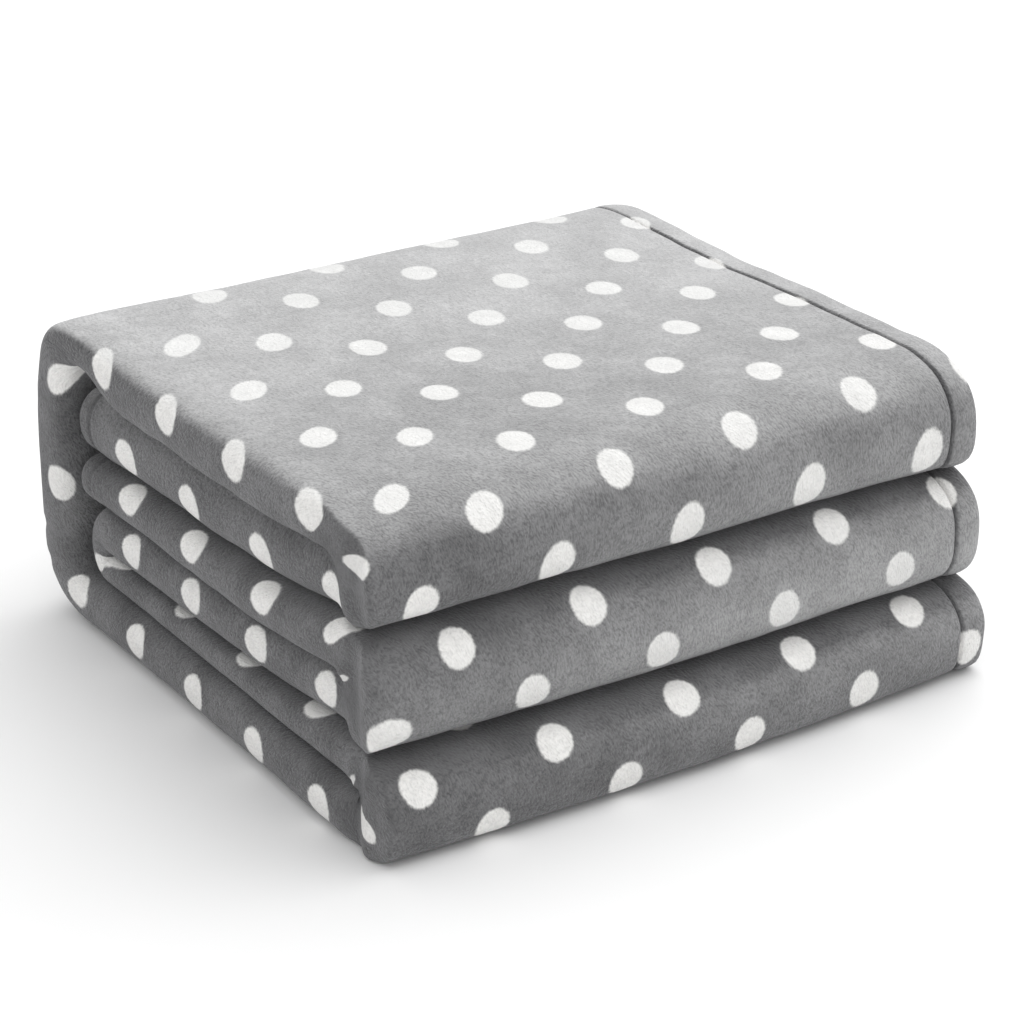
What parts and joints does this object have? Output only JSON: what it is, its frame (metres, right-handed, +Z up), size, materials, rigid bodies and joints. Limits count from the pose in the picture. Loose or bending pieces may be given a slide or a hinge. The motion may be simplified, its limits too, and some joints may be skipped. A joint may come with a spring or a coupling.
{
  "type": "folded throw blanket",
  "caption": "Soft fleece throw with scattered round dots, folded into a thick square stack with rounded folds along the front and a wrapped spine at the back.",
  "frame": {"origin": "middle of the flat face that the stack rests on", "axes": "+X from the folded left end to the hemmed right end, +Y from the rounded front folds to the spine, +Z up"},
  "size_m": [0.3174, 0.295, 0.1415],
  "materials": {
    "fleece": "brushed short-pile fleece, matt, with soft round off-white dots",
    "hem_fleece": "the same fleece turned over and stitched down",
    "thread": "matt polyester sewing thread"
  },
  "bodies": {
    "lower_stack": {"bottom_length": "fleece", "bottom_length_hem": "hem_fleece", "fifth_length": "fleece", "fifth_length_hem": "hem_fleece", "fourth_length": "fleece", "fourth_length_hem": "hem_fleece", "third_length": "fleece", "third_length_hem": "hem_fleece", "third_end_hem": "hem_fleece", "middle_front_fold": "fleece", "middle_front_fold_hem": "hem_fleece", "middle_front_fold_stitching": "thread", "bottom_front_fold": "fleece", "bottom_front_fold_hem": "hem_fleece", "bottom_front_fold_stitching": "thread", "inner_back_fold": "fleece", "inner_back_fold_hem": "hem_fleece", "lower_back_bend": "fleece", "lower_back_bend_hem": "hem_fleece"},
    "spine": {"spine": "fleece", "spine_hem": "hem_fleece", "spine_stitching": "thread"},
    "upper_stack": {"top_length": "fleece", "top_length_hem": "hem_fleece", "top_length_stitching": "thread", "second_length": "fleece", "second_length_hem": "hem_fleece", "second_end_hem": "hem_fleece", "top_front_fold": "fleece", "top_front_fold_hem": "hem_fleece", "top_front_fold_stitching": "thread", "upper_back_bend": "fleece", "upper_back_bend_hem": "hem_fleece"}
  },
  "joints": [
    {"name": "lower_spine_fold", "type": "hinge", "parent": "lower_stack", "child": "spine", "pos_m": [0, 0.13035, 0.01715], "axis": [-1, 0, 0], "range_deg": [0, 90], "deforming": ["lower_back_bend", "lower_back_bend_hem"]},
    {"name": "upper_spine_fold", "type": "hinge", "parent": "spine", "child": "upper_stack", "pos_m": [0, 0.13035, 0.12435], "axis": [-1, 0, 0], "range_deg": [0, 90], "deforming": ["upper_back_bend", "upper_back_bend_hem"]}
  ],
  "couplings": [
    {"joint": "upper_spine_fold", "follows": "lower_spine_fold", "ratio": 1}
  ]
}
